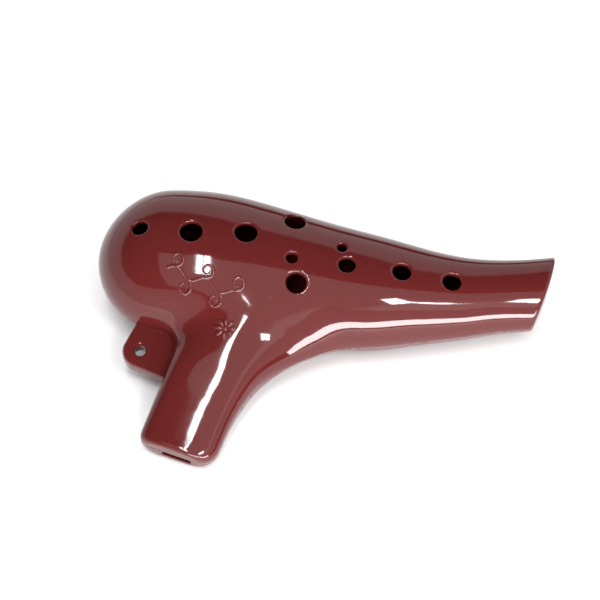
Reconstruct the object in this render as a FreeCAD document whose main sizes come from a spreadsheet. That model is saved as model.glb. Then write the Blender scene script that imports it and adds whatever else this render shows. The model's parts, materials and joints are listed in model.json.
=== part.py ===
import FreeCAD, Part
import math
import os
import Sketcher

# A transverse twelve-hole ocarina in moulded plastic: two shells that meet at a parting plane,
# and a windway block clamped between them in the mouthpiece. Millimetres.
# Everything is drawn in the mould's frame: the parting plane is z = 0, +X runs to the tail,
# +Y away from the player, +Z out of the finger-hole side. The last step lays the instrument
# down the way it rests on a table, with its origin at the middle of its footprint.

os.makedirs("parts", exist_ok=True)
doc = FreeCAD.newDocument("ocarina")
sheet = doc.addObject("Spreadsheet::Sheet", "sizes")
Vector = FreeCAD.Vector
UP = Vector(0, 0, 1)


# ---- driving dimensions ------------------------------------------------------------------
ROWS = [
    ("tip_x", -18.3),            # middle of the mouthpiece's end face
    ("tip_y", -83.2),
    ("mouth_lean", 12.0),        # degrees that the mouthpiece leans towards the round end
    ("tail_x", 115.4),           # middle of the tail's end face
    ("tail_y", 3.0),
    ("tail_turn", 12.6),         # degrees that the end face is cut off square
    ("wall", 2.6),
    ("lap_wall", 1.3),           # the seam's lap: the inner half of the wall
    ("lap_depth", 1.5),          # and how far it stands below the parting plane
    ("windway_offset", -0.4),    # the windway's middle line, off the mouthpiece's axis
    ("windway_width", 11.6),
    ("windway_inlet", 3.1),      # its height at the tip and at the window
    ("windway_outlet", 1.3),
    ("windway_drop", 7.6),       # depth of its floor below the parting plane at the window
    ("windway_end", 42.0),       # where it ends, from the tip
    ("end_wall", 3.0),           # the mouthpiece's wall at the tip
    ("rib_wall", 2.2),           # the ribs beside the windway, and the bulkhead behind it
    ("flange_rise", 2.2),        # thickness of the block's flange above the parting plane
    ("key_lip", 0.6),            # thickness of the block's key at the tip
    ("window_long", 5.0),        # the sound window behind the windway
    ("edge_depth", 7.1),         # the labium's edge below the parting plane
    ("ramp_angle", 33.0),        # the labium's slope outside
    ("land_angle", 17.0),        # and inside
    ("land_long", 15.0),
    ("edge_thick", 0.5),
    ("ramp_long", 40.0),
    ("rib_start", 1.0),          # the ribs begin inside the tip's wall
    ("key_overlap", 0.1),        # the key starts a little inside the flange
    ("press_first", 12.0),       # the upper shell's two ribs that press on the flange
    ("press_second", 30.0),
    ("press_thick", 2.0),
    ("hole_round", 0.8),         # rounding of the finger and thumb holes' lips
    ("lug_x", -39.3),            # the cord lug, in the crook between round end and mouthpiece
    ("lug_y", -41.2),
    ("lug_radius", 6.9),
    ("lug_thick", 6.0),
    ("lug_bore", 2.2),
    ("lug_round", 0.8),
    ("lug_top_x", -42.0),        # where its two sides run into the round end
    ("lug_top_y", -27.5),
    ("lug_foot_x", -27.0),       # and into the mouthpiece
    ("lug_foot_y", -52.0),
    ("lug_root_top_x", -32.0),   # its hidden end, inside the wall
    ("lug_root_top_y", -28.0),
    ("lug_root_foot_x", -23.0),
    ("lug_root_foot_y", -46.0),
    ("corner_share", 0.86),      # the mouthpiece's corner radius as a share of its half height
    ("clear", 1.0),              # how far a cutter stands past what it cuts
    ("deep", 30.0),              # past the shells' skin above and below
    ("drill_near", 4.0),         # where a hole's drill starts and ends, off the parting plane
    ("drill_far", 40.0),
    ("end_reach", 60.0),         # past the tail's end on every side
    ("reach", 200.0),            # past the whole instrument
    ("rest_roll", 12.1),         # degrees from the mould's frame to the way it rests on a table
    ("rest_pitch", 3.3),
]

# The body's elliptical sections: place along X, half width, middle in plan, half height. The
# round end is half a flattened ball on the first of them.
BODY = [
    (-32, 30.2, -1.6, 22.4), (-16, 30.6, -1.3, 22.7), (0, 29.1, -1.7, 21.6), (16, 27.0, -2.5, 20.3),
    (33, 25.4, -3.9, 19.3), (50, 23.4, -4.4, 18.2), (66, 20.0, -3.6, 16.0), (85, 16.7, -1.7, 13.3),
    (100, 15.2, 1.4, 11.9), (112, 15.2, 3.9, 11.2), (126, 15.9, 7.1, 11.1),
]
# The mouthpiece's sections: depth from the tip, half width on the side of the round end and on
# the tail side, half thickness.
MOUTH = [
    (0, 11.4, 6.8, 5.1), (0.4, 12.6, 8.5, 5.8), (1.2, 14.2, 10.7, 6.1), (3, 15.7, 12.5, 6.3),
    (6, 16.1, 13.9, 6.5), (10, 16.2, 14.4, 6.8), (20, 16.2, 15.2, 7.9), (30, 16.3, 17.0, 9.3),
    (40, 17.0, 20.9, 11.1), (50, 18.7, 28.5, 12.8), (60, 21.0, 38.0, 14.1), (75, 22.0, 47.0, 15.0),
]
# Holes: place in plan, and radius. The fifth and seventh are the small sub-holes.
FINGERS = [
    (-45.4, 1.7, 3.1), (-25.2, 1.7, 4.4), (-4.2, 4.8, 4.4), (13.8, 14.8, 4.1), (14.8, -3.2, 2.3),
    (17.7, -12.6, 3.9), (33.4, 4.9, 1.9), (36.2, -2.6, 3.3), (57.5, -1.7, 3.6), (77.2, -1.9, 3.6),
]
THUMBS = [(-26.0, 3.0, 4.4), (24.0, -3.0, 4.1)]

for table, words in (
    ("body", ("place", "half", "middle", "high")),
    ("mouth", ("depth", "left", "right", "high")),
    ("finger", ("x_place", "y_place", "radius")),
    ("thumb", ("x_place", "y_place", "radius")),
):
    lines = {"body": BODY, "mouth": MOUTH, "finger": FINGERS, "thumb": THUMBS}[table]
    for number, line in enumerate(lines):
        for word, value in zip(words, line):
            ROWS.append(("%s_%s_%s" % (table, "abcdefghijkl"[number], word), value))

for number, (alias, value) in enumerate(ROWS, start=1):
    sheet.set("A%d" % number, alias)
    sheet.set("B%d" % number, repr(value))
    sheet.setAlias("B%d" % number, alias)
doc.recompute()


def size(alias):
    return float(sheet.get(alias))


def add(kind, name, **bound):
    """A document object whose properties are bound to the sheet, given as alias expressions."""
    thing = doc.addObject(kind, name)
    for key, expression in bound.items():
        thing.setExpression(key.replace("__", "."), expression)
    return thing


def joined(name, pieces):
    fuse = doc.addObject("Part::MultiFuse", name)
    fuse.Shapes = pieces
    fuse.Refine = True
    return fuse


def less(name, base, tool):
    cut = doc.addObject("Part::Cut", name)
    cut.Base = base
    cut.Tool = tool
    return cut


def shared(name, first, second):
    common = doc.addObject("Part::MultiCommon", name)
    common.Shapes = [first, second]
    return common


# ---- the mouthpiece's own frame: x across towards the tail, y down from the plane, z inwards
LEAN = math.radians(size("mouth_lean"))
INWARD = Vector(math.sin(LEAN), math.cos(LEAN), 0)
ACROSS = Vector(math.cos(LEAN), -math.sin(LEAN), 0)
TIP = Vector(size("tip_x"), size("tip_y"), 0)
STAND = FreeCAD.Rotation(ACROSS, UP, ACROSS.cross(UP), "ZXY")       # sections across the mouthpiece
LIE = FreeCAD.Rotation(INWARD, UP.cross(INWARD), UP, "ZXY")         # x inwards, y to the round end


def box(name, low, high, placement):
    """A box between two corners, given as expressions in the frame that placement sets."""
    thing = add("Part::Box", name, Length="(%s) - (%s)" % (high[0], low[0]),
                Width="(%s) - (%s)" % (high[1], low[1]), Height="(%s) - (%s)" % (high[2], low[2]))
    corner = Vector(*[thing.evalExpression("(%s) * 1" % word) for word in low])
    thing.Placement = placement * FreeCAD.Placement(corner, FreeCAD.Rotation())
    return thing


TAIL_END = FreeCAD.Placement(Vector(size("tail_x"), size("tail_y"), 0),
                             FreeCAD.Rotation(UP, -size("tail_turn")))
AT_TIP = FreeCAD.Placement(TIP, LIE)
MOULD = FreeCAD.Placement()
FAR = "sizes.reach"


# ---- the form, drawn once for the outside and again inside the wall ------------------------
def body_form(name, inset):
    """Ellipses lofted along X, and the flattened ball of the round end."""
    sections = []
    for letter in "abcdefghijk":
        key = "sizes.body_%s_" % letter
        ellipse = add("Part::Ellipse", "%s_section_%s" % (name, letter),
                      MajorRadius=key + "half - " + inset, MinorRadius=key + "high - " + inset,
                      Placement__Base__x=key + "place", Placement__Base__y=key + "middle")
        ellipse.Placement.Rotation = FreeCAD.Rotation(Vector(1, 1, 1), 120)
        sections.append(ellipse)
    loft = doc.addObject("Part::Loft", name + "_loft")
    loft.Sections = sections
    loft.Solid = True
    ball = add("Part::Ellipsoid", name + "_ball",
               Radius1="sizes.body_a_high - " + inset, Radius2="sizes.body_a_half - " + inset,
               Radius3="sizes.body_a_half - " + inset,
               Placement__Base__x="sizes.body_a_place", Placement__Base__y="sizes.body_a_middle")
    ball.Angle3 = 180
    ball.Placement.Rotation = FreeCAD.Rotation(UP, 90)
    return joined(name + "_body", [loft, ball])


def mouth_form(name, inset, first):
    """Rounded oblongs lofted inwards from the tip; first is the letter of the section it starts at."""
    sections = []
    for letter in "abcdefghijkl"["abcdefghijkl".index(first):]:
        key = "sizes.mouth_%s_" % letter
        sketch = doc.addObject("Sketcher::SketchObject", "%s_oblong_%s" % (name, letter))
        left, right, high = [sheet_value("%s%s - %s" % (key, word, inset))
                             for word in ("left", "right", "high")]
        draw_oblong(sketch, left, right, high)
        last = sketch.ConstraintCount - 1
        sketch.setExpression("Constraints[%d]" % (last - 4), "(%shigh - %s) * sizes.corner_share" % (key, inset))
        for index, word in ((last - 3, "left"), (last - 2, "right"), (last - 1, "high"), (last, "high")):
            sketch.setExpression("Constraints[%d]" % index, key + word + " - " + inset)
        sketch.Placement = FreeCAD.Placement(TIP + INWARD * size("mouth_%s_depth" % letter), STAND)
        sections.append(sketch)
    loft = doc.addObject("Part::Loft", name + "_mouth")
    loft.Sections = sections
    loft.Solid = True
    return loft


def sheet_value(expression):
    return float(sheet.evalExpression(expression.replace("sizes.", "")))


def draw_oblong(sketch, left, right, high):
    """Four sides and four round corners, held by three sizes: left, right and half height."""
    turn = high * size("corner_share")
    corners = [(right - turn, high - turn, 0), (-left + turn, high - turn, 90),
               (-left + turn, -high + turn, 180), (right - turn, -high + turn, 270)]
    ends = [(-left + turn, high, right - turn, high), (-left, -high + turn, -left, high - turn),
            (right - turn, -high, -left + turn, -high), (right, high - turn, right, -high + turn)]
    for x, y, first in corners:
        circle = Part.Circle(Vector(x, y, 0), UP, turn)
        arc = Part.ArcOfCircle(circle, math.radians(first), math.radians(first + 90))
        sketch.addGeometry(arc, False)
    for x_one, y_one, x_two, y_two in ends:
        sketch.addGeometry(Part.LineSegment(Vector(x_one, y_one, 0), Vector(x_two, y_two, 0)), False)
    arcs = (0, 1, 2, 3)
    top, left_side, bottom, right_side = 4, 5, 6, 7
    rule = Sketcher.Constraint
    sketch.addConstraint([
        rule("Tangent", arcs[0], 2, top, 2), rule("Tangent", top, 1, arcs[1], 1),
        rule("Tangent", arcs[1], 2, left_side, 2), rule("Tangent", left_side, 1, arcs[2], 1),
        rule("Tangent", arcs[2], 2, bottom, 2), rule("Tangent", bottom, 1, arcs[3], 1),
        rule("Tangent", arcs[3], 2, right_side, 2), rule("Tangent", right_side, 1, arcs[0], 1),
        rule("Horizontal", top), rule("Horizontal", bottom),
        rule("Vertical", left_side), rule("Vertical", right_side),
        rule("Equal", arcs[0], arcs[1]), rule("Equal", arcs[1], arcs[2]),
        rule("Equal", arcs[2], arcs[3]),
    ])
    sketch.addConstraint(rule("Radius", arcs[0], turn))
    sketch.addConstraint(rule("Distance", left_side, 1, -2, left))
    sketch.addConstraint(rule("Distance", right_side, 1, -2, right))
    sketch.addConstraint(rule("Distance", top, 1, -1, high))
    sketch.addConstraint(rule("Distance", bottom, 1, -1, high))


def whole_form(name, inset, first, tail_inset):
    """Body and mouthpiece in one, cut off at the tail's slanted end."""
    form = joined(name + "_long", [body_form(name, inset), mouth_form(name, inset, first)])
    past = "sizes.end_reach"
    end = box(name + "_past_tail", ("-" + tail_inset, "-" + past, "-" + past), (past, past, past), TAIL_END)
    return less(name + "_form", form, end)


def edges_where(shape, test):
    """Numbers of the edges whose points all pass a test."""
    return [number for number, edge in enumerate(shape.Edges, start=1)
            if not edge.Degenerated and all(test(point) for point in edge.discretize(9))]


def rounded(name, base, radius, numbers):
    fillet = doc.addObject("Part::Fillet", name)
    fillet.Base = base
    fillet.Edges = [(number, size(radius), size(radius)) for number in numbers]
    return fillet


def profile_solid(name, points, half_width):
    """A side profile in the mouthpiece (depth, height), drawn out about the windway's middle."""
    middle = -size("windway_offset")
    corners = [Vector(depth, middle - half_width, height) for depth, height in points]
    outline = doc.addObject("Part::Feature", name + "_outline")
    outline.Shape = Part.Face(Part.makePolygon(corners + corners[:1]))
    outline.Placement = AT_TIP
    solid = doc.addObject("Part::Extrusion", name)
    solid.Base = outline
    solid.DirMode = "Custom"
    solid.Dir = LIE.multVec(Vector(0, 1, 0))
    solid.LengthFwd = 2 * half_width
    return solid


# ---- the outside, the inside of the wall, and the middle of it for the seam's lap ------------
NEAR = 0.02                          # a point this close to a line is on it
outer_form = whole_form("outer", "0", "a", "0")
inner_form = whole_form("inner", "sizes.wall", "d", "sizes.wall")
lap_form = whole_form("lap", "sizes.lap_wall", "d", "sizes.lap_wall")
doc.recompute()

# ---- the hollow, the seam's lap, and the two halves ----------------------------------------
bulkhead = box("bulkhead", ("sizes.windway_end - sizes.rib_wall", "-sizes.deep", "-sizes.deep"),
               ("sizes.windway_end", "sizes.deep", "sizes.deep"), AT_TIP)
hollow = less("hollow", inner_form, bulkhead)
above = box("above", ("-" + FAR, "-" + FAR, "0"), (FAR, FAR, FAR), MOULD)
below = box("below", ("-" + FAR, "-" + FAR, "-" + FAR), (FAR, FAR, "0"), MOULD)
lap_slab = box("lap_slab", ("-" + FAR, "-" + FAR, "-sizes.lap_depth"), (FAR, FAR, "0"), MOULD)
lap = shared("lap", less("lap_band", lap_form, inner_form), lap_slab)

# ---- the work inside the mouthpiece --------------------------------------------------------
window_near = size("windway_end")
window_far = window_near + size("window_long")
half_windway = size("windway_width") / 2
half_ribs = half_windway + size("rib_wall")
rib_start = size("rib_start")
clear = size("clear")
deep = -size("deep")
edge = -size("edge_depth")
edge_top = edge + size("edge_thick")
ramp_long = size("ramp_long")
land_end = window_far + size("land_long")
land_fall = size("land_long") * math.tan(math.radians(size("land_angle")))
ramp_fall = ramp_long * math.tan(math.radians(size("ramp_angle")))

ribs = profile_solid("ribs", [(rib_start, 0), (window_near, 0), (window_near, deep),
                              (rib_start, deep)], half_ribs)
land = profile_solid("land", [(window_far, edge_top), (land_end, edge_top - land_fall),
                              (land_end, deep), (window_far, deep)], half_ribs)
channel = profile_solid("channel", [(-clear, clear), (window_near, clear),
                                    (window_near, -size("windway_drop")),
                                    (-clear, -size("windway_inlet"))], half_windway)
window = profile_solid("window", [(window_near, clear), (window_far, clear), (window_far, deep),
                                  (window_near, deep)], half_windway)
ramp = profile_solid("ramp", [(window_far, edge), (window_far + ramp_long, edge - ramp_fall),
                              (window_far, edge - ramp_fall)], half_windway)

# ---- the cord lug --------------------------------------------------------------------------
lug_centre = Vector(size("lug_x"), size("lug_y"), 0)
lug_radius = size("lug_radius")
lug_top, lug_foot, root_top, root_foot = [
    Vector(size("lug_%s_x" % word), size("lug_%s_y" % word), 0)
    for word in ("top", "foot", "root_top", "root_foot")]


def tangent_point(outside, side):
    """Where a line from a point outside the lug's nose touches it."""
    away = outside - lug_centre
    angle = math.atan2(away.y, away.x) + side * math.acos(lug_radius / away.Length)
    return lug_centre + Vector(math.cos(angle), math.sin(angle), 0) * lug_radius


touch_top = tangent_point(lug_top, 1)
touch_foot = tangent_point(lug_foot, -1)
nose = lug_centre + (lug_centre - (root_top + root_foot) * 0.5).normalize() * lug_radius
corners = [touch_top, lug_top, root_top, root_foot, lug_foot, touch_foot]
lug_edges = [Part.makeLine(start, stop) for start, stop in zip(corners, corners[1:])]
lug_edges.append(Part.Arc(touch_foot, nose, touch_top).toShape())
lug_face = doc.addObject("Part::Feature", "lug_face")
lug_face.Shape = Part.Face(Part.Wire(lug_edges))
lug_plate = doc.addObject("Part::Extrusion", "lug_plate")
lug_plate.Base = lug_face
lug_plate.DirMode = "Custom"
lug_plate.Dir = UP * -1
lug_plate.setExpression("LengthFwd", "sizes.lug_thick")
lug_bore = add("Part::Cylinder", "lug_bore_drill", Radius="sizes.lug_bore", Height="sizes.lug_thick * 3",
               Placement__Base__x="sizes.lug_x", Placement__Base__y="sizes.lug_y",
               Placement__Base__z="-sizes.lug_thick * 2")
lug_drilled = less("lug_drilled", lug_plate, lug_bore)
doc.recompute()


def off_line(point, start, stop):
    along = (stop - start).normalize()
    return (point - start).cross(along).Length


def on_lug_rim(point):
    level = min(abs(point.z), abs(point.z + size("lug_thick")))
    flat = Vector(point.x, point.y, 0)
    radial = (flat - lug_centre).Length
    out = min(abs(radial - lug_radius), abs(radial - size("lug_bore")),
              off_line(flat, touch_top, lug_top), off_line(flat, touch_foot, lug_foot))
    return level < NEAR and out < NEAR


lug = rounded("lug", lug_drilled, "lug_round", edges_where(lug_drilled.Shape, on_lug_rim))


# ---- holes ---------------------------------------------------------------------------------
LEVEL = 0.5                          # edges of one lip have their middles within this height
UPRIGHT = 1.5                        # an edge that rises more than this runs along the drill


def drills(kind, count, low, high):
    """The drills of one shell's holes, straight along the mould's pull."""
    pieces = []
    for letter in "abcdefghij"[:count]:
        key = "sizes.%s_%s_" % (kind, letter)
        pieces.append(add("Part::Cylinder", "%s_drill_%s" % (kind, letter), Radius=key + "radius",
                          Height="%s - (%s)" % (high, low), Placement__Base__x=key + "x_place",
                          Placement__Base__y=key + "y_place", Placement__Base__z=low))
    return joined(kind + "_drills", pieces)


def lips(shape, kind, count, side):
    """Numbers of the holes' outer lip edges."""
    numbers = []
    for letter in "abcdefghij"[:count]:
        key = "%s_%s_" % (kind, letter)
        centre = Vector(size(key + "x_place"), size(key + "y_place"), 0)
        radius = size(key + "radius")
        rings = edges_where(
            shape, lambda p: abs((Vector(p.x, p.y, 0) - centre).Length - radius) < NEAR)
        height = [side * shape.Edges[ring - 1].CenterOfMass.z for ring in rings]
        numbers += [ring for ring, z in zip(rings, height)
                    if z > max(height) - LEVEL and not is_upright(shape.Edges[ring - 1])]
    return numbers


def is_upright(edge):
    start, stop = edge.Vertexes[0].Point, edge.Vertexes[-1].Point
    return abs(stop.z - start.z) > UPRIGHT


# ---- upper shell ---------------------------------------------------------------------------
rise = size("flange_rise")
press_ribs = []
for word in ("first", "second"):
    begin = size("press_" + word)
    stop = begin + size("press_thick")
    press_ribs.append(profile_solid(
        "press_rib_" + word, [(begin, rise), (stop, rise), (stop, -deep), (begin, -deep)], half_ribs))
flange_room = profile_solid("flange_room", [(size("end_wall"), -2 * clear), (window_near, -2 * clear),
                                            (window_near, rise), (size("end_wall"), rise)], half_ribs)
upper_walls = less("upper_walls", shared("upper_half", outer_form, above), hollow)
upper_work = shared("upper_work", joined("press_ribs", press_ribs), outer_form)
upper_ribbed = joined("upper_ribbed", [upper_walls, lap, upper_work])
upper_fitted = less("upper_fitted", upper_ribbed, flange_room)
finger_drills = drills("finger", len(FINGERS), "sizes.drill_near", "sizes.drill_far")
upper_sharp = less("upper_sharp", upper_fitted, finger_drills)
doc.recompute()
finger_lips = lips(upper_sharp.Shape, "finger", len(FINGERS), 1)
upper_shell = rounded("upper_shell", upper_sharp, "hole_round", finger_lips)

# ---- lower shell ---------------------------------------------------------------------------
lower_walls = less("lower_walls", shared("lower_half", outer_form, below), hollow)
lug_part = less("lug_part", lug, inner_form)
lower_work = shared("lower_work", joined("inside_work", [ribs, land]), outer_form)
lower_solid = joined("lower_solid", [lower_walls, lower_work, lug_part])
thumb_drills = drills("thumb", len(THUMBS), "-sizes.drill_far", "-sizes.drill_near")
openings = joined("lower_openings", [channel, window, ramp, thumb_drills])
lower_sharp = less("lower_sharp", less("lower_opened", lower_solid, openings), lap)
doc.recompute()
thumb_lips = lips(lower_sharp.Shape, "thumb", len(THUMBS), -1)
lower_shell = rounded("lower_shell", lower_sharp, "hole_round", thumb_lips)

# ---- windway block: a flange on the ribs, and a key that is the windway's roof --------------
block = doc.addObject("PartDesign::Body", "windway_block")
planes = {feature.Role: feature for feature in block.Origin.OriginFeatures}


def polygon_sketch(name, plane, points, sizes_of):
    """A closed outline; each point's two places are bound to expressions."""
    sketch = block.newObject("Sketcher::SketchObject", name)
    sketch.AttachmentSupport = (planes[plane], [""])
    sketch.MapMode = "FlatFace"
    count = len(points)
    for number in range(count):
        start, stop = points[number], points[(number + 1) % count]
        sketch.addGeometry(Part.LineSegment(Vector(*start, 0), Vector(*stop, 0)), False)
    for number in range(count):
        sketch.addConstraint(Sketcher.Constraint("Coincident", number, 2, (number + 1) % count, 1))
    for number, words in enumerate(sizes_of):
        for kind, word, value in zip(("DistanceX", "DistanceY"), words, points[number]):
            index = sketch.addConstraint(Sketcher.Constraint(kind, -1, 1, number, 1, value))
            sketch.setExpression("Constraints[%d]" % index, word)
    return sketch


near_end, far_end = "sizes.end_wall", "sizes.windway_end"
low_side = "-sizes.windway_offset - sizes.windway_width / 2 - sizes.rib_wall"
high_side = "-sizes.windway_offset + sizes.windway_width / 2 + sizes.rib_wall"
middle = -size("windway_offset")
start, stop = size("end_wall"), size("windway_end")
flange_sketch = polygon_sketch(
    "flange_outline", "XY_Plane",
    [(start, middle - half_ribs), (stop, middle - half_ribs),
     (stop, middle + half_ribs), (start, middle + half_ribs)],
    [(near_end, low_side), (far_end, low_side), (far_end, high_side), (near_end, high_side)])
flange = block.newObject("PartDesign::Pad", "flange")
flange.Profile = flange_sketch
flange.setExpression("Length", "sizes.flange_rise")
roof_drop = size("windway_drop") - size("windway_outlet")
overlap = size("key_overlap")
key_sketch = polygon_sketch(
    "key_outline", "XZ_Plane",
    [(start, overlap), (stop, overlap), (stop, -roof_drop), (start, -size("key_lip"))],
    [(near_end, "sizes.key_overlap"), (far_end, "sizes.key_overlap"),
     (far_end, "-(sizes.windway_drop - sizes.windway_outlet)"), (near_end, "-sizes.key_lip")])
key = block.newObject("PartDesign::Pad", "key")
key.Profile = key_sketch
key.SideType = "Two sides"
key.setExpression("Length", "-(%s) - sizes.rib_wall" % low_side)
key.setExpression("Length2", "(%s) - sizes.rib_wall" % high_side)

# ---- lay it down: turned into its resting pose, origin under the middle of its box -----------
doc.recompute()
roll = FreeCAD.Rotation(Vector(1, 0, 0), size("rest_roll"))
pitch = FreeCAD.Rotation(Vector(0, 1, 0), size("rest_pitch"))
REST = FreeCAD.Placement(Vector(), pitch.multiply(roll))
SUBPARTS = [upper_shell, lower_shell, block]
fineness = 0.05                      # of the points that the box is measured from
points = [REST.multVec(point) for piece in (upper_shell, lower_shell)
          for point in piece.Shape.tessellate(fineness)[0]]
lows = [min(point[axis] for point in points) for axis in range(3)]
highs = [max(point[axis] for point in points) for axis in range(3)]
REST.Base = Vector(-(lows[0] + highs[0]) / 2, -(lows[1] + highs[1]) / 2, -lows[2])

# The block is drawn in the mouthpiece's own frame; the shells are drawn in the mould's.
upper_shell.Placement = REST
lower_shell.Placement = REST
block.Placement = REST.multiply(AT_TIP)
doc.recompute()

# ---- checks, then one file for each sub-part -------------------------------------------------
for thing in doc.Objects:
    if "Invalid" in thing.State or "Error" in thing.State:
        raise RuntimeError(thing.Name + " didn't compute")
for piece in SUBPARTS:
    if piece.Shape.isNull() or not piece.Shape.isValid():
        raise RuntimeError(piece.Label + " has no valid shape")
for piece in SUBPARTS:
    piece.Shape.exportStep("parts/%s.step" % piece.Label)
    print(piece.Label, round(piece.Shape.Volume / 1000, 2), "cm3", piece.Shape.BoundBox)
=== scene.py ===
import json
import math

import bmesh
import bpy
import numpy as np
from mathutils import Matrix, Vector


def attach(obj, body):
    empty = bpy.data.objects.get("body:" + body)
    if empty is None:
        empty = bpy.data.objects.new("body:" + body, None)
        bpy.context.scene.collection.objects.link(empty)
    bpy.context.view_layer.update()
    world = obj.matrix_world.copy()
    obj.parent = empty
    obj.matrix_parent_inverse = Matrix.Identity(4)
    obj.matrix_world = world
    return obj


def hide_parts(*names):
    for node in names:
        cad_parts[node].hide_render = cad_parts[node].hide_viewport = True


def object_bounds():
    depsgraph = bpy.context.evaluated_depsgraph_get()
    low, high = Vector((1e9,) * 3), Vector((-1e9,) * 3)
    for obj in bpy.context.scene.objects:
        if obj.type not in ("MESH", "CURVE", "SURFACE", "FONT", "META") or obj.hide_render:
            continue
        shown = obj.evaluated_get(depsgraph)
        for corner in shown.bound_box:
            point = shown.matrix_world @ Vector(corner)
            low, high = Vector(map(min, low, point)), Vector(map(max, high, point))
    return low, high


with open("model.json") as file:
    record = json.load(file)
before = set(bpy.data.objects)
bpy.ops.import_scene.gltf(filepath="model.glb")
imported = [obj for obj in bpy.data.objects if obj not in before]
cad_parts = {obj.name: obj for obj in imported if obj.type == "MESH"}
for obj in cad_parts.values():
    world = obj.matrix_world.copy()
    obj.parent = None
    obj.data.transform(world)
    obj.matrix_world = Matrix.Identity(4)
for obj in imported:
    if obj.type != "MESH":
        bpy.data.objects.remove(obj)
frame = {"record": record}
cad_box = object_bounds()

# The ocarina is drawn in its mould's frame, in millimetres: the parting plane is z = 0, +X runs
# to the tail, +Y away from the player, +Z out of the finger-hole side. Each finished mesh is then
# turned into the frame that the CAD model rests in, in metres.
MM = 0.001

# ---- driving sizes: the CAD model's, with the mouthpiece slimmer where it runs into the body ---
WALL = 2.6
REST_ROLL = math.radians(12.1)
REST_PITCH = math.radians(3.3)
LUG = np.array([-39.3, -41.2])
LUG_RADIUS = 6.9
LUG_THICK = 6.0
LUG_BORE = 2.2
LUG_ROUND = 0.8
LUG_ROOT = 19.0                              # how far its plate runs into the body
LUG_BACK = (-42.0, -27.5)                    # points that its two straight sides run through
LUG_FRONT = (-27.0, -52.0)
TIP = np.array([-18.3, -83.2])
LEAN = math.radians(12.0)
INWARD = np.array([math.sin(LEAN), math.cos(LEAN)])
ACROSS = np.array([math.cos(LEAN), -math.sin(LEAN)])
TAIL = np.array([115.4, 3.0])
TAIL_TURN = math.radians(12.6)
TAIL_OUT = np.array([math.cos(TAIL_TURN), -math.sin(TAIL_TURN)])
TAIL_CROWN = 85.0                            # radius that the tail's end is crowned to
CORNER_LEFT = 5.0
CORNER_RIGHT = 8.0
SQUARENESS = 3.0                             # power of the mouthpiece's sections at the tip
ROUNDNESS = 1.7                              # and where it meets the body
SQUARE_TO = 28.0                             # depth at which the change starts
SQUARE_FADE = 28.0                           # and how long it takes
MOUTH_DEEP = 60.0                            # depth at which it starts to die away in the body
MOUTH_FADE = 36.0
BLEND = 14.0
RIM = 1.2
TIP_TRIM = 0.8                               # how far back the tip's face is
TIP_RIM = 1.5
LIP = 0.85
WINDWAY_MIDDLE = -0.4
WINDWAY_WIDTH = 11.6
WINDWAY_INLET = 3.1
WINDWAY_DROP = 7.6
WINDWAY_END = 42.0
END_WALL = 3.0
RIB = 2.2
FLANGE = 2.2
WINDOW_LONG = 5.0
EDGE_DEPTH = 7.1
EDGE_THICK = 0.5
RAMP_ANGLE = math.radians(33.0)
LAND_ANGLE = math.radians(17.0)
SEAM = 0.12
RELIEF_LIFT = -0.10                          # height of a raised line's middle over the skin
CELL = 0.68
TOP_REACH = 26.0                             # higher than any of the finger-hole side

# Body sections along X: place, half width, middle in plan, height as a share of width.
BODY = np.array([
    (-62.2, 0, -2.4, .74), (-58, 15.0, -2.3, .74), (-50, 24.2, -2.0, .74), (-41, 28.8, -1.7, .74),
    (-32, 30.2, -1.5, .74), (-16, 30.6, -1.3, .74), (0, 29.1, -1.7, .74), (16, 27.0, -2.5, .75),
    (33, 25.4, -3.9, .76), (50, 23.4, -4.4, .78), (66, 20.0, -3.6, .80), (85, 16.7, -1.7, .80),
    (100, 15.2, 1.4, .78), (112, 15.2, 3.9, .74), (126, 15.9, 7.1, .70)])
# Mouthpiece sections by depth from the tip: half width to the round end, to the tail, half height.
MOUTH = np.array([
    (-10, 16.1, 14.2, 6.0), (0, 16.1, 14.2, 6.1), (10, 16.2, 14.5, 6.8), (20, 16.2, 15.2, 7.9),
    (30, 16.3, 17.0, 9.3), (40, 16.6, 20.7, 11.1), (50, 18.0, 27.9, 12.4), (60, 20.4, 37.0, 13.4),
    (75, 22.0, 47.0, 15.0), (90, 22.0, 50.0, 15.0)])
FINGERS = [(-45.4, 1.7, 3.1), (-25.2, 1.7, 4.4), (-4.2, 4.8, 4.4), (13.8, 14.8, 4.1),
           (14.8, -3.2, 2.3), (17.7, -12.6, 3.9), (33.4, 4.9, 1.9), (36.2, -2.6, 3.3),
           (57.5, -1.7, 3.6), (77.2, -1.9, 3.6)]
THUMBS = [(-26.0, 3.0, 4.4), (24.0, -3.0, 4.1)]

turn = Matrix.Rotation(REST_PITCH, 4, "Y") @ Matrix.Rotation(REST_ROLL, 4, "X")
cord_hole = next(m for m in frame["record"]["mounts"] if m["name"] == "cord_hole")
lug_middle = Vector((*LUG, -LUG_THICK / 2)) * MM
REST = Matrix.Translation(Vector(cord_hole["pos_m"]) - turn @ lug_middle) @ turn
TO_FRAME = REST @ Matrix.Scale(MM, 4)


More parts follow.
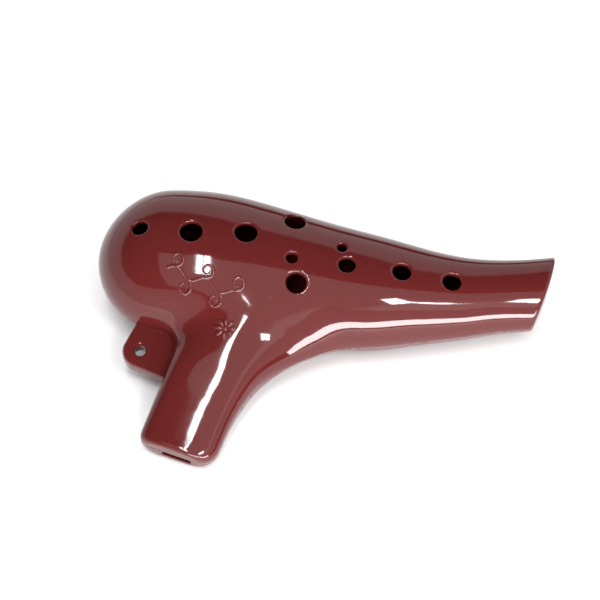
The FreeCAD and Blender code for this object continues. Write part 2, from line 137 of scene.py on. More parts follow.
# ---- the form as a distance field ------------------------------------------------------------
def smooth_line(places, values):
    """The natural cubic spline through the stations, as a function giving value and slope."""
    steps = np.diff(places)
    jumps = np.diff(np.diff(values) / steps)
    middle = np.diag(2 * (steps[:-1] + steps[1:])) + np.diag(steps[1:-1], 1) + np.diag(steps[1:-1], -1)
    bends = np.concatenate([[0], np.linalg.solve(middle, 6 * jumps), [0]])

    def at(place):
        i = np.clip(np.searchsorted(places, place) - 1, 0, len(places) - 2)
        step = steps[i]
        a = (places[i + 1] - place) / step
        b = 1 - a
        value = a * values[i] + b * values[i + 1]
        value = value + ((a ** 3 - a) * bends[i] + (b ** 3 - b) * bends[i + 1]) * step ** 2 / 6
        slope = (values[i + 1] - values[i]) / step
        slope = slope + ((3 * b * b - 1) * bends[i + 1] - (3 * a * a - 1) * bends[i]) * step / 6
        return value, slope

    return at


body_square = smooth_line(BODY[:, 0], BODY[:, 1] ** 2)
body_middle = smooth_line(BODY[:, 0], BODY[:, 2])
body_ratio = smooth_line(BODY[:, 0], BODY[:, 3])
mouth_left, mouth_right, mouth_half = [smooth_line(MOUTH[:, 0], MOUTH[:, k]) for k in (1, 2, 3)]


def body_distance(x, y, z):
    """About how far points are outside the body: elliptical sections along X."""
    square, square_slope = body_square(x)
    middle, middle_slope = body_middle(x)
    ratio, ratio_slope = body_ratio(x)
    side = y - middle
    lift = z / ratio
    excess = side ** 2 + lift ** 2 - square
    along = -square_slope - 2 * side * middle_slope - 2 * lift ** 2 * ratio_slope / ratio
    steep = np.sqrt(along ** 2 + 4 * side ** 2 + 4 * (lift / ratio) ** 2)
    return excess / np.maximum(steep, 1e-3)


def in_mouth(x, y):
    """Depth from the tip, and how far across towards the tail."""
    dx, dy = x - TIP[0], y - TIP[1]
    return dx * INWARD[0] + dy * INWARD[1], dx * ACROSS[0] + dy * ACROSS[1]


def corner_loss(depth, radius):
    """How much a round corner takes off the width near the mouthpiece's end."""
    share = np.clip((radius - depth) / radius, 0, 1)
    return radius * (1 - np.sqrt(1 - share ** 2))


def mouth_distance(x, y, z):
    """About how far points are outside the mouthpiece: squared-off sections along its axis."""
    depth, across = in_mouth(x, y)
    place = np.clip(depth, MOUTH[0, 0], MOUTH[-1, 0])
    left = mouth_left(place)[0] - corner_loss(depth, CORNER_LEFT)
    right = mouth_right(place)[0] - corner_loss(depth, CORNER_RIGHT)
    high = mouth_half(place)[0]
    wide = (left + right) / 2
    u = np.abs(across - (right - left) / 2) / wide
    v = np.abs(z) / high
    ease = np.clip((depth - SQUARE_TO) / SQUARE_FADE, 0, 1)
    power = SQUARENESS - (SQUARENESS - ROUNDNESS) * ease ** 2 * (3 - 2 * ease)
    share = (u ** power + v ** power + 1e-12) ** (1 / power)
    stretch = np.sqrt(((u * wide / high) ** 2 + v ** 2) / (u ** 2 + v ** 2 + 1e-12))
    return (share - 1) * high * stretch + np.maximum(depth - MOUTH_DEEP, 0) ** 2 / MOUTH_FADE


def round_both(a, b, radius):
    """Inside both fields, with the edge where they meet rounded off."""
    over = np.hypot(np.maximum(a + radius, 0), np.maximum(b + radius, 0))
    return over + np.minimum(np.maximum(a, b), -radius)


def long_form(x, y, z):
    """Body and mouthpiece blended, before the ends are cut off."""
    body = body_distance(x, y, z)
    mouth = mouth_distance(x, y, z)
    close = np.maximum(BLEND - np.abs(body - mouth), 0) / BLEND
    return np.minimum(body, mouth) - close ** 3 * BLEND / 6


def past_tail(x, y, z):
    """How far points are past the tail's slightly crowned end."""
    dx, dy = x - TAIL[0], y - TAIL[1]
    across = dx * TAIL_OUT[1] - dy * TAIL_OUT[0]
    crown = (across ** 2 + z ** 2) / (2 * TAIL_CROWN)
    return dx * TAIL_OUT[0] + dy * TAIL_OUT[1] + crown


def outside(x, y, z):
    """The whole outer form, without the lug."""
    form = round_both(long_form(x, y, z), past_tail(x, y, z), RIM)
    return round_both(form, TIP_TRIM - in_mouth(x, y)[0], TIP_RIM)


def lug_side(point, turn_sign):
    """Outward direction of the lug's straight side that runs from its round end past a point."""
    way = np.array(point) - LUG
    reach = np.linalg.norm(way)
    swing = math.acos(LUG_RADIUS / reach) * turn_sign
    aim = math.atan2(way[1], way[0]) + swing
    return np.array([math.cos(aim), math.sin(aim)])


def lug_distance(x, y, z):
    """About how far points are outside the lug: a round-ended plate with a round hole."""
    back = lug_side(LUG_BACK, 1)
    front = lug_side(LUG_FRONT, -1)
    axis = -(back + front) / np.linalg.norm(back + front)
    dx, dy = x - LUG[0], y - LUG[1]
    reach = np.hypot(dx, dy)
    plan = reach
    for side, way in ((back, 1), (front, -1)):
        beyond = way * (dx * side[1] - dy * side[0]) > 0
        here = way * (axis[0] * dy - axis[1] * dx) > 0
        plan = np.where(here & beyond, dx * side[0] + dy * side[1], plan)
    plan = np.maximum(plan - LUG_RADIUS, axis[0] * dx + axis[1] * dy - LUG_ROOT)
    plate = round_both(plan, np.abs(z + LUG_THICK / 2) - LUG_THICK / 2, LUG_ROUND)
    return round_both(plate, LUG_BORE - reach, LUG_ROUND)


def chamber(x, y, z):
    """The hollow inside the wall, which ends at the mouthpiece's bulkhead and the labium's land."""
    depth, across = in_mouth(x, y)
    hollow = np.maximum(long_form(x, y, z) + WALL, past_tail(x, y, z) + WALL)
    hollow = np.maximum(hollow, WINDWAY_END - depth)
    land_start = WINDWAY_END + WINDOW_LONG
    top = -EDGE_DEPTH + EDGE_THICK - (depth - land_start) * math.tan(LAND_ANGLE)
    land = np.maximum(z - top, np.abs(across - WINDWAY_MIDDLE) - WINDWAY_WIDTH / 2 - RIB)
    return np.maximum(hollow, -np.maximum(land, land_start - depth))


def upper_hollow(x, y, z):
    """The chamber, and the room for the windway block's flange."""
    depth, across = in_mouth(x, y)
    room = np.maximum(END_WALL - depth, depth - WINDWAY_END)
    room = np.maximum(room, np.abs(across - WINDWAY_MIDDLE) - WINDWAY_WIDTH / 2 - RIB)
    return np.minimum(chamber(x, y, z), np.maximum(room, z - FLANGE))


def upper_form(x, y, z):
    """The upper shell's outside, with its round-lipped finger holes."""
    form = outside(x, y, z)
    for hole_x, hole_y, radius in FINGERS:
        form = round_both(form, radius - np.hypot(x - hole_x, y - hole_y), LIP)
    return form


def lower_form(x, y, z):
    """The lower shell's outside, with the lug and the thumb holes."""
    form, lug = outside(x, y, z), lug_distance(x, y, z)
    close = np.maximum(LUG_ROUND - np.abs(form - lug), 0) / LUG_ROUND
    form = np.minimum(form, lug) - close ** 3 * LUG_ROUND / 6
    for hole_x, hole_y, radius in THUMBS:
        form = round_both(form, radius - np.hypot(x - hole_x, y - hole_y), LIP)
    return form


def gradient(field, points, reach=0.02):
    """The field's unit slope at points, and its length."""
    slope = np.empty_like(points)
    for axis in range(3):
        step = np.zeros(3)
        step[axis] = reach
        slope[:, axis] = (field(*(points + step).T) - field(*(points - step).T)) / (2 * reach)
    length = np.linalg.norm(slope, axis=1)
    return slope / np.maximum(length, 1e-9)[:, None], length


# ---- from a field to a mesh ------------------------------------------------------------------
CORNERS = np.array([(i, j, k) for i in (0, 1) for j in (0, 1) for k in (0, 1)])
GRID_LOW = (-64.0, -86.0)                    # plan that holds the whole form
GRID_HIGH = (120.0, 32.0)
GRID_HALF = 24.5
CELL_EDGES = [(a, b) for a in range(8) for b in range(a + 1, 8)
              if np.abs(CORNERS[a] - CORNERS[b]).sum() == 1]


def skin_of(field, low, high, cell, flat_layer=None):
    """A quad mesh of the surface where a field is zero, one vertex in each cell that it crosses.

    The cells are centred on z = 0. flat_layer is 1 or -1 to keep only what is above or below the
    parting plane, closed by a flat face in it."""
    start = np.floor(np.array(low) / cell) * cell
    start[2] = (math.floor(low[2] / cell) + 0.5) * cell
    counts = np.ceil((np.array(high) - start) / cell).astype(int) + 1
    axes = [start[a] + cell * np.arange(counts[a]) for a in range(3)]
    x, y, z = np.meshgrid(*axes, indexing="ij", sparse=True)
    values = field(x, y, z) + 0 * (x + y + z)
    if flat_layer:
        values = np.where(z * flat_layer < 0, cell, values)
    inside = values < 0
    total = sum(inside[c[0]:inside.shape[0] - 1 + c[0], c[1]:inside.shape[1] - 1 + c[1],
                       c[2]:inside.shape[2] - 1 + c[2]].astype(np.int8) for c in CORNERS)
    crossed = (total > 0) & (total < 8)
    cells = np.argwhere(crossed)
    number = -np.ones(crossed.shape, dtype=np.int64)
    number[tuple(cells.T)] = np.arange(len(cells))
    corner_values = np.stack([values[tuple((cells + c).T)] for c in CORNERS], axis=1)
    points = np.zeros((len(cells), 3))
    hits = np.zeros(len(cells))
    for a, b in CELL_EDGES:
        va, vb = corner_values[:, a], corner_values[:, b]
        cut = (va < 0) != (vb < 0)
        share = np.where(cut, va / np.where(cut, va - vb, 1), 0)
        place = CORNERS[a] + (CORNERS[b] - CORNERS[a]) * share[:, None]
        points += place * cut[:, None]
        hits += cut
    points = start + cell * (cells + points / hits[:, None])
    quads = []
    for axis in range(3):
        one, two = (axis + 1) % 3, (axis + 2) % 3
        near = [slice(None)] * 3
        far = [slice(None)] * 3
        near[axis], far[axis] = slice(0, -1), slice(1, None)
        for side in (one, two):
            near[side] = far[side] = slice(1, -1)
        first, second = inside[tuple(near)], inside[tuple(far)]
        edges = np.argwhere(first != second)
        edges[:, one] += 1
        edges[:, two] += 1
        around = []
        for back_one, back_two in ((1, 1), (0, 1), (0, 0), (1, 0)):
            at = edges.copy()
            at[:, one] -= back_one
            at[:, two] -= back_two
            around.append(number[tuple(at.T)])
        around = np.stack(around, axis=1)
        outward = inside[tuple(edges.T)]
        quads.append(np.where(outward[:, None], around, around[:, ::-1]))
    return points, np.concatenate(quads), cells[:, 2] == np.argmin(np.abs(axes[2][:-1] + cell / 2))


def settle(points, field, cell, rounds=4):
    """Move points onto the surface where a field is zero."""
    for _ in range(rounds):
        way, length = gradient(field, points)
        step = np.clip(field(*points.T) / np.maximum(length, 0.3), -cell, cell)
        points = points - way * step[:, None]
    return points


def shell_mesh(name, form, hollow, side):
    """One shell: the half of the wall between a form and its hollow, up to the parting plane."""
    def wall(x, y, z):
        return np.maximum(form(x, y, z), -hollow(x, y, z))

    low = np.array((*GRID_LOW, -3 * CELL if side > 0 else -GRID_HALF))
    high = np.array((*GRID_HIGH, GRID_HALF if side > 0 else 3 * CELL))
    points, quads, flat = skin_of(wall, low, high, CELL, side)
    points[~flat] = settle(points[~flat], wall, CELL)
    points[:, 2] = np.where(side * points[:, 2] < 0, 0, points[:, 2])
    points[flat, 2] = 0
    for edge in (form, hollow):               # the parting face's own rims
        near = flat & (np.abs(edge(*points.T)) < CELL * 0.75)
        level = points[near]
        for _ in range(4):
            way, length = gradient(edge, level)
            step = edge(*level.T) / np.maximum(length, 0.3)
            level[:, :2] -= way[:, :2] * step[:, None]
        points[near] = level
    mesh = bpy.data.meshes.new(name)
    mesh.from_pydata(points.tolist(), [], quads.tolist())
    piece = bpy.data.objects.new(name, mesh)
    bpy.context.scene.collection.objects.link(piece)
    open_seam(mesh)
    return piece


def mend(work):
    """Open up the few edges where the skin touches itself, and close each hole by itself."""
    for _ in range(4):
        bad = [edge for edge in work.edges if len(edge.link_faces) != 2]
        if not bad:
            break
        around = {face for edge in bad for vert in edge.verts for face in vert.link_faces}
        bmesh.ops.delete(work, geom=list(around), context="FACES")
        rims = [edge for edge in work.edges if edge.is_boundary]
        bmesh.ops.holes_fill(work, edges=rims, sides=0)
    bmesh.ops.recalc_face_normals(work, faces=work.faces[:])


def open_seam(mesh):
    """Break the shell's outer rim, so that the two shells meet in a fine groove."""
    work = bmesh.new()
    work.from_mesh(mesh)
    mend(work)
    rim = []
    for edge in work.edges:
        if len(edge.link_faces) == 2 and all(v.co.z == 0 for v in edge.verts):
            level = [all(v.co.z == 0 for v in face.verts) for face in edge.link_faces]
            if level[0] != level[1]:
                rim.append(edge)
    ends = np.array([(e.verts[0].co + e.verts[1].co) / 2 for e in rim])
    keep = np.abs(outside(*ends.T)) < 0.1
    rim = [edge for edge, good in zip(rim, keep) if good]
    bmesh.ops.bevel(work, geom=rim, offset=SEAM, offset_type="OFFSET", segments=1, affect="EDGES")
    work.to_mesh(mesh)
    work.free()


def prism(name, outline, across_low, across_high):
    """A closed prism across the mouthpiece from an outline in depth and height."""
    count = len(outline)
    points = []
    for across in (across_low, across_high):
        for depth, z in outline:
            x, y = TIP + INWARD * depth + ACROSS * across
            points.append((x, y, z))
    faces = [list(range(count)), list(range(2 * count - 1, count - 1, -1))]
    for k in range(count):
        n = (k + 1) % count
        faces.append([k, k + count, n + count, n])
    mesh = bpy.data.meshes.new(name)
    mesh.from_pydata(points, [], faces)
    work = bmesh.new()
    work.from_mesh(mesh)
    bmesh.ops.recalc_face_normals(work, faces=work.faces[:])
    work.to_mesh(mesh)
    work.free()
    piece = bpy.data.objects.new(name, mesh)
    bpy.context.scene.collection.objects.link(piece)
    return piece


def cut(piece, cutter):
    """Take a cutter out of a piece for good."""
    step = piece.modifiers.new("cut", "BOOLEAN")
    step.operation = "DIFFERENCE"
    step.solver = "MANIFOLD"
    step.object = cutter
    bpy.context.view_layer.update()
    whole = piece.evaluated_get(bpy.context.evaluated_depsgraph_get())
    mesh = bpy.data.meshes.new_from_object(whole)
    piece.modifiers.remove(step)
    piece.data = mesh
    bpy.data.objects.remove(cutter)


def into_frame(piece, form, hollow):
    """Turn a shell into the frame, with normals from its form wherever the skin is smooth."""
    mesh = piece.data
    points = np.empty(len(mesh.vertices) * 3)
    mesh.vertices.foreach_get("co", points)
    points = points.reshape(-1, 3)

    def wall(x, y, z):
        return np.maximum(form(x, y, z), -hollow(x, y, z))

    skin, _ = gradient(wall, points, 0.01)
    on_skin = np.abs(wall(*points.T)) < 0.03
    corner = np.empty(len(mesh.loops), dtype=np.int64)
    mesh.loops.foreach_get("vertex_index", corner)
    faces = np.empty(len(mesh.polygons) * 3)
    mesh.polygons.foreach_get("normal", faces)
    sizes = np.empty(len(mesh.polygons), dtype=np.int64)
    mesh.polygons.foreach_get("loop_total", sizes)
    flat = np.repeat(faces.reshape(-1, 3), sizes, axis=0)
    smooth = skin[corner]
    agree = on_skin[corner] & (np.sum(flat * smooth, axis=1) > 0.8)
    normals = np.where(agree[:, None], smooth, flat)
    normals = normals @ np.array(turn.to_3x3()).T
    mesh.polygons.foreach_set("use_smooth", [True] * len(mesh.polygons))
    mesh.transform(TO_FRAME)
    mesh.normals_split_custom_set(normals.tolist())
    mesh.update()


upper = shell_mesh("upper_shell_skin", upper_form, upper_hollow, 1)
lower = shell_mesh("lower_shell_skin", lower_form, chamber, -1)

# The windway, the sound window and the labium's ramp are one cutter, from the side: it runs past
# the parting plane, the tip's face and the belly.
over = 0.5
beyond = 2.0
deep = 40.0
labium = WINDWAY_END + WINDOW_LONG
ramp_end = labium + (deep - EDGE_DEPTH) / math.tan(RAMP_ANGLE)
land_top = -EDGE_DEPTH + EDGE_THICK + 1.5
room_low = WINDWAY_MIDDLE - WINDWAY_WIDTH / 2
room_high = WINDWAY_MIDDLE + WINDWAY_WIDTH / 2
windway = [(-beyond, over), (WINDWAY_END + 1, over), (WINDWAY_END + 1, land_top),
           (labium, land_top), (labium, -EDGE_DEPTH), (ramp_end, -deep), (WINDWAY_END, -deep),
           (WINDWAY_END, -WINDWAY_DROP), (0, -WINDWAY_INLET), (-beyond, -WINDWAY_INLET)]
cut(lower, prism("windway_cutter", windway, room_low, room_high))
into_frame(upper, upper_form, upper_hollow)
into_frame(lower, lower_form, chamber)


# ---- the raised ornament: a scrolling vine and a rosette --------------------------------------
def on_top(x, y):
    """The height of the finger-hole side over places in plan."""
    low = np.zeros_like(x)
    high = np.full_like(x, TOP_REACH)
    for _ in range(26):
        middle = (low + high) / 2
        filled = outside(x, y, middle) < 0
        low = np.where(filled, middle, low)
        high = np.where(filled, high, middle)
    return low


def drawn(plan):
    """Points in plan laid on the finger-hole side, in the frame."""
    plan = np.array(plan)
    height = on_top(plan[:, 0], plan[:, 1]) + RELIEF_LIFT
    return [TO_FRAME @ Vector((x, y, z)) for (x, y), z in zip(plan, height)]


def scroll(root, aim, size, hand, turns=1.35):
    """A spiral that leaves a root in a direction and curls to one hand."""
    steps = np.linspace(0, turns * 2 * math.pi, 34)
    radius = size * (1 - 0.78 * steps / steps[-1])
    centre = root + size * np.array([-math.sin(aim) * hand, math.cos(aim) * hand])
    angle = aim - hand * math.pi / 2 + hand * steps
    return np.stack([centre[0] + radius * np.cos(angle), centre[1] + radius * np.sin(angle)], axis=1)


def new_group(name, sockets, kind="GeometryNodeTree"):
    """A node group with its sockets, each given as way, name, type and starting value."""
    group = bpy.data.node_groups.new(name, kind)
    for way, socket, socket_type, value in sockets:
        item = group.interface.new_socket(socket, in_out=way, socket_type=socket_type)
        if value is not None:
            item.default_value = value
    return group


def raised_line_group():
    """A rounded ridge along each curve, thinning to its far end."""
    group = new_group("raised_line", [
        ("INPUT", "Geometry", "NodeSocketGeometry", None),
        ("INPUT", "Half Width", "NodeSocketFloat", 0.0003),
        ("INPUT", "Material", "NodeSocketMaterial", None),
        ("OUTPUT", "Geometry", "NodeSocketGeometry", None)])
    nodes, link = group.nodes, group.links.new
    given = nodes.new("NodeGroupInput")
    out = nodes.new("NodeGroupOutput")
    along = nodes.new("GeometryNodeSplineParameter")
    quarter_turn = nodes.new("ShaderNodeMath")
    quarter_turn.operation = "MULTIPLY"
    quarter_turn.inputs[1].default_value = math.pi / 2
    arch = nodes.new("ShaderNodeMath")
    arch.operation = "COSINE"
    full = nodes.new("ShaderNodeMath")
    full.operation = "POWER"
    full.inputs[1].default_value = 0.5
    thin = nodes.new("GeometryNodeSetCurveRadius")
    ring = nodes.new("GeometryNodeCurvePrimitiveCircle")
    ring.inputs["Resolution"].default_value = 10
    ridge = nodes.new("GeometryNodeCurveToMesh")
    ridge.inputs["Fill Caps"].default_value = True
    real = nodes.new("GeometryNodeRealizeInstances")
    paint = nodes.new("GeometryNodeSetMaterial")
    link(along.outputs["Factor"], quarter_turn.inputs[0])
    link(quarter_turn.outputs[0], arch.inputs[0])
    link(arch.outputs[0], full.inputs[0])
    link(given.outputs["Geometry"], thin.inputs["Curve"])
    link(full.outputs[0], thin.inputs["Radius"])
    link(given.outputs["Half Width"], ring.inputs["Radius"])
    link(thin.outputs["Curve"], ridge.inputs["Curve"])
    link(ring.outputs["Curve"], ridge.inputs["Profile Curve"])
    link(full.outputs[0], ridge.inputs["Scale"])
    link(ridge.outputs["Mesh"], real.inputs[0])
    link(real.outputs[0], paint.inputs["Geometry"])
    link(given.outputs["Material"], paint.inputs["Material"])
    link(paint.outputs[0], out.inputs[0])
    return group


def petal_ring_group():
    """Petals standing in a ring, around a round boss, in the XY plane."""
    group = new_group("petal_ring", [
        ("INPUT", "Geometry", "NodeSocketGeometry", None),
        ("INPUT", "Petals", "NodeSocketInt", 8),
        ("INPUT", "Ring Radius", "NodeSocketFloat", 0.002),
        ("INPUT", "Petal Length", "NodeSocketFloat", 0.001),
        ("INPUT", "Material", "NodeSocketMaterial", None),
        ("OUTPUT", "Geometry", "NodeSocketGeometry", None)])
    nodes, link = group.nodes, group.links.new
    given = nodes.new("NodeGroupInput")
    out = nodes.new("NodeGroupOutput")
    ring = nodes.new("GeometryNodeCurvePrimitiveCircle")
    spots = nodes.new("GeometryNodeCurveToPoints")
    drop = nodes.new("GeometryNodeMeshUVSphere")
    drop.inputs["Segments"].default_value = 20
    drop.inputs["Rings"].default_value = 12
    shape = nodes.new("GeometryNodeTransform")
    shape.inputs["Scale"].default_value = (1.0, 0.48, 0.36)
    place = nodes.new("GeometryNodeInputPosition")
    radial = nodes.new("FunctionNodeAlignRotationToVector")
    radial.axis = "X"
    spread = nodes.new("GeometryNodeInstanceOnPoints")
    boss = nodes.new("GeometryNodeTransform")
    boss.inputs["Scale"].default_value = (0.62, 0.62, 0.40)
    both = nodes.new("GeometryNodeJoinGeometry")
    real = nodes.new("GeometryNodeRealizeInstances")
    paint = nodes.new("GeometryNodeSetMaterial")
    link(given.outputs["Ring Radius"], ring.inputs["Radius"])
    link(ring.outputs["Curve"], spots.inputs["Curve"])
    link(given.outputs["Petals"], spots.inputs["Count"])
    link(given.outputs["Petal Length"], drop.inputs["Radius"])
    link(drop.outputs["Mesh"], shape.inputs["Geometry"])
    link(spots.outputs["Points"], spread.inputs["Points"])
    link(shape.outputs["Geometry"], spread.inputs["Instance"])
    link(place.outputs[0], radial.inputs["Vector"])
    link(radial.outputs[0], spread.inputs["Rotation"])
    link(drop.outputs["Mesh"], boss.inputs["Geometry"])
    link(spread.outputs["Instances"], both.inputs[0])
    link(boss.outputs["Geometry"], both.inputs[0])
    link(both.outputs[0], real.inputs[0])
    link(real.outputs[0], paint.inputs["Geometry"])
    link(given.outputs["Material"], paint.inputs["Material"])
    link(paint.outputs[0], out.inputs[0])
    return group


def run_group(name, data, group, values):
    """The plain mesh that a Geometry Nodes group makes from a mesh or a curve."""
    carrier = bpy.data.objects.new(name + "_source", data)
    bpy.context.scene.collection.objects.link(carrier)
    step = carrier.modifiers.new("nodes", "NODES")
    step.node_group = group
    for item in group.interface.items_tree:
        if item.name in values:
            step[item.identifier] = values[item.name]
    carrier.update_tag()
    bpy.context.view_layer.update()
    mesh = bpy.data.meshes.new_from_object(
        carrier.evaluated_get(bpy.context.evaluated_depsgraph_get()))
    bpy.data.objects.remove(carrier)
    mesh.name = name
    piece = bpy.data.objects.new(name, mesh)
    bpy.context.scene.collection.objects.link(piece)
    mesh.polygons.foreach_set("use_smooth", [True] * len(mesh.polygons))
    return piece


# ---- materials ---------------------------------------------------------------------------------
def linear(*channels):
    """Light values for a colour given as screen values from 0 to 255."""
    return tuple((c / 255 / 12.92) if c <= 10 else ((c / 255 + 0.055) / 1.055) ** 2.4
                 for c in channels)


def plastic_skin_group():
    """Moulded plastic's faint ripple, handling marks and dust, as values over the surface."""
    group = new_group("plastic_skin", [
        ("INPUT", "Base", "NodeSocketColor", (0.1, 0.1, 0.1, 1)),
        ("INPUT", "Dust", "NodeSocketColor", (0.5, 0.5, 0.5, 1)),
        ("INPUT", "Gloss", "NodeSocketFloat", 0.1),
        ("INPUT", "Smudge", "NodeSocketFloat", 0.06),
        ("INPUT", "Ripple", "NodeSocketFloat", 0.1),
        ("OUTPUT", "Color", "NodeSocketColor", None),
        ("OUTPUT", "Roughness", "NodeSocketFloat", None),
        ("OUTPUT", "Normal", "NodeSocketVector", None)], "ShaderNodeTree")
    nodes, link = group.nodes, group.links.new
    given = nodes.new("NodeGroupInput")
    out = nodes.new("NodeGroupOutput")
    place = nodes.new("ShaderNodeTexCoord")
    cloud = nodes.new("ShaderNodeTexNoise")
    cloud.inputs["Scale"].default_value = 38.0
    cloud.inputs["Detail"].default_value = 4.0
    speck = nodes.new("ShaderNodeTexNoise")
    speck.inputs["Scale"].default_value = 900.0
    speck.inputs["Detail"].default_value = 2.0
    few = nodes.new("ShaderNodeMapRange")
    few.inputs["From Min"].default_value = 0.70
    few.inputs["From Max"].default_value = 0.76
    few.inputs["To Max"].default_value = 0.5
    tint = nodes.new("ShaderNodeMix")
    tint.data_type = "RGBA"
    spread = nodes.new("ShaderNodeMath")
    spread.operation = "MULTIPLY_ADD"
    peel = nodes.new("ShaderNodeTexNoise")
    peel.inputs["Scale"].default_value = 110.0
    peel.inputs["Detail"].default_value = 1.0
    bump = nodes.new("ShaderNodeBump")
    bump.inputs["Distance"].default_value = 0.0004
    for texture in (cloud, speck, peel):
        link(place.outputs["Object"], texture.inputs["Vector"])
    link(speck.outputs["Fac"], few.inputs["Value"])
    link(few.outputs["Result"], tint.inputs["Factor"])
    link(given.outputs["Base"], tint.inputs["A"])
    link(given.outputs["Dust"], tint.inputs["B"])
    link(cloud.outputs["Fac"], spread.inputs[0])
    link(given.outputs["Smudge"], spread.inputs[1])
    link(given.outputs["Gloss"], spread.inputs[2])
    link(peel.outputs["Fac"], bump.inputs["Height"])
    link(given.outputs["Ripple"], bump.inputs["Strength"])
    link(tint.outputs["Result"], out.inputs["Color"])
    link(spread.outputs[0], out.inputs["Roughness"])
    link(bump.outputs["Normal"], out.inputs["Normal"])
    return group


def plastic(name, colour, dust, gloss, smudge, ripple, skin):
    """A plastic material with the shared skin on it."""
    made = bpy.data.materials.new(name)
    made.use_nodes = True
    nodes, link = made.node_tree.nodes, made.node_tree.links.new
    shader = nodes["Principled BSDF"]
    shader.inputs["IOR"].default_value = 1.5
    marks = nodes.new("ShaderNodeGroup")
    marks.node_tree = skin
    marks.inputs["Base"].default_value = (*linear(*colour), 1)
    marks.inputs["Dust"].default_value = (*linear(*dust), 1)
    marks.inputs["Gloss"].default_value = gloss
    marks.inputs["Smudge"].default_value = smudge
    marks.inputs["Ripple"].default_value = ripple
    link(marks.outputs["Color"], shader.inputs["Base Color"])
    link(marks.outputs["Roughness"], shader.inputs["Roughness"])
    link(marks.outputs["Normal"], shader.inputs["Normal"])
    return made


skin = plastic_skin_group()
glossy = plastic("glossy_maroon_plastic", (80, 25, 24), (104, 58, 56), 0.04, 0.04, 0.15, skin)
# The relief's plastic is tinted lighter than the body's: a painted highlight for the light that its
# raised lines catch.
relief = plastic("relief_plastic_painted_highlight", (88, 30, 29), (112, 66, 62), 0.06, 0.06, 0.05, skin)
satin = plastic("satin_block_plastic", (64, 18, 17), (96, 50, 48), 0.30, 0.12, 0.15, skin)
for piece in (upper, lower):
    piece.data.materials.clear()
    piece.data.materials.append(glossy)

# The vine's stem waves between two ends, and a scroll leaves the outside of each bend.
VINE_START = np.array([-32.0, -14.2])
VINE_END = np.array([-1.6, -21.6])
VINE_WAVE = 1.5
VINE_BENDS = 2.5
SCROLLS = 5
SCROLL_SIZE = 2.9
SCROLL_SPREAD = 0.15
ROSETTE = np.array([-6.9, -33.1])
vine_way = VINE_END - VINE_START
vine_unit = vine_way / np.linalg.norm(vine_way)
vine_side = np.array([-vine_unit[1], vine_unit[0]])
vine_aim = math.atan2(vine_unit[1], vine_unit[0])


def stem_at(share):
    """A place along the vine's stem, in plan."""
    wave = VINE_WAVE * math.sin(share * VINE_BENDS * 2 * math.pi)
    return VINE_START + vine_way * share + vine_side * wave


lines = [[stem_at(share) for share in np.linspace(0, 1, 90)]]
for k in range(SCROLLS):
    root = stem_at((k + 0.45) / SCROLLS)
    hand = 1 if k % 2 == 0 else -1
    lines.append(scroll(root, vine_aim + hand * SCROLL_SPREAD, SCROLL_SIZE, hand))
curve = bpy.data.curves.new("vine_lines", "CURVE")
curve.dimensions = "3D"
for line in lines:
    spline = curve.splines.new("POLY")
    laid = drawn(line)
    spline.points.add(len(laid) - 1)
    for point, place in zip(spline.points, laid):
        point.co = (*place, 1)
vine = run_group("vine_relief", curve, raised_line_group(), {"Half Width": 0.00075, "Material": relief})

rosette = run_group("rosette_relief", bpy.data.meshes.new("rosette_seed"), petal_ring_group(),
                    {"Petals": 8, "Ring Radius": 0.0026, "Petal Length": 0.0018, "Material": relief})
seat = np.array([*ROSETTE, on_top(ROSETTE[:1], ROSETTE[1:])[0]])
facing, _ = gradient(outside, seat[None, :])
tilt = Vector((0, 0, 1)).rotation_difference(Vector(facing[0])).to_matrix().to_4x4()
rosette.data.transform(turn @ tilt)
rosette.data.transform(Matrix.Translation(TO_FRAME @ Vector(seat)))

block = bpy.data.objects["windway_block"]
block.data.materials.clear()
block.data.materials.append(satin)

for piece in (upper, lower, vine, rosette):
    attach(piece, "root")
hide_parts("upper_shell")
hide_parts("lower_shell")

# ---- floor, light and camera -------------------------------------------------------------------
floor_mesh = bpy.data.meshes.new("studio_floor")
floor_mesh.from_pydata([(-3, -3, 0), (3, -3, 0), (3, 3, 0), (-3, 3, 0)], [], [(0, 1, 2, 3)])
floor = bpy.data.objects.new("studio_floor", floor_mesh)
bpy.context.scene.collection.objects.link(floor)
floor.location.z = cad_box[0][2]
pale = bpy.data.materials.new("pale_floor")
pale.use_nodes = True
matt = pale.node_tree.nodes["Principled BSDF"]
matt.inputs["Base Color"].default_value = (0.9, 0.9, 0.9, 1)
matt.inputs["Roughness"].default_value = 0.7
floor_mesh.materials.append(pale)


def soft_light(name, place, target, size, power):
    """A rectangular area light that faces a target and isn't seen itself."""
    data = bpy.data.lights.new(name, "AREA")
    data.shape = "RECTANGLE"
    data.size, data.size_y = size
    data.energy = power
    lamp = bpy.data.objects.new(name, data)
    bpy.context.scene.collection.objects.link(lamp)
    lamp.location = place
    lamp.rotation_euler = (Vector(target) - Vector(place)).to_track_quat("-Z", "Y").to_euler()
    lamp.visible_camera = False
    return lamp


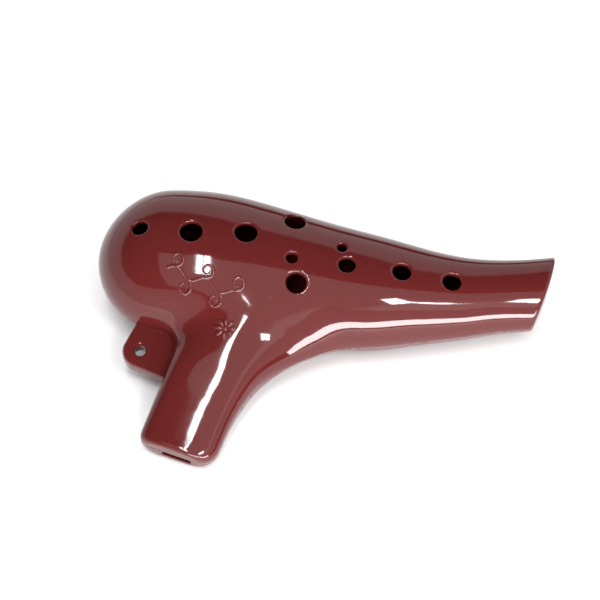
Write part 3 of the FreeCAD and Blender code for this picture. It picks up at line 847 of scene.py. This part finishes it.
overhead = soft_light("overhead_box", (0, 0.1, 1.6), (0, 0, 0), (2.4, 2.4), 20.0)
overhead.visible_glossy = False
soft_light("ceiling_panel", (0.32, -0.72, 1.2), (0.32, -0.72, 0), (1.35, 1.2), 4.4)
soft_light("front_band", (0.26, -0.72, 0.15), (0.03, 0, 0.03), (0.9, 0.18), 10.0)
soft_light("front_window", (0.42, -0.46, 0.84), (0, 0, 0.02), (0.12, 0.16), 2.0)
soft_light("ceiling_tube_left", (-0.08, -0.33, 1.15), (-0.08, -0.33, 0), (0.04, 0.50), 2.3)
soft_light("ceiling_tube_right", (-0.03, -0.33, 1.15), (-0.03, -0.33, 0), (0.04, 0.50), 2.3)

world = bpy.data.worlds.new("studio")
bpy.context.scene.world = world
world.use_nodes = True
nodes, link = world.node_tree.nodes, world.node_tree.links.new
backdrop = nodes["Background"]
way = nodes.new("ShaderNodeTexCoord")
rise = nodes.new("ShaderNodeVectorMath")
rise.operation = "DOT_PRODUCT"
rise.inputs[1].default_value = (-0.30, -0.05, 1.0)
shade = nodes.new("ShaderNodeValToRGB")
dark = 0.05
wall_low, wall_high = shade.color_ramp.elements
wall_low.position = 0.05
wall_low.color = (dark, dark, dark, 1)
wall_high.position = 0.08
wall_high.color = (1.05, 1.0, 1.05, 1)
for position, level in ((0.64, 0.80), (0.69, dark)):
    shade.color_ramp.elements.new(position).color = (level, level, level, 1)
link(way.outputs["Generated"], rise.inputs[0])
link(rise.outputs["Value"], shade.inputs[0])
link(shade.outputs[0], backdrop.inputs["Color"])
backdrop.inputs["Strength"].default_value = 1.0

CAMERA_TURN, CAMERA_RISE, CAMERA_FAR = math.radians(8.0), math.radians(64.0), 0.700
camera_data = bpy.data.cameras.new("camera")
camera_data.lens = 105.8
camera_data.shift_x, camera_data.shift_y = 0.075, -0.053
camera = bpy.data.objects.new("camera", camera_data)
bpy.context.scene.collection.objects.link(camera)
right = Vector((math.cos(CAMERA_TURN), math.sin(CAMERA_TURN), 0))
back = Vector((math.sin(CAMERA_TURN) * math.cos(CAMERA_RISE),
               -math.cos(CAMERA_TURN) * math.cos(CAMERA_RISE), math.sin(CAMERA_RISE)))
aimed = Matrix((right, back.cross(right), back)).transposed().to_4x4()
camera.matrix_world = REST @ Matrix.Translation(back * CAMERA_FAR) @ aimed
bpy.context.scene.camera = camera
bpy.context.scene.view_settings.view_transform = "Standard"
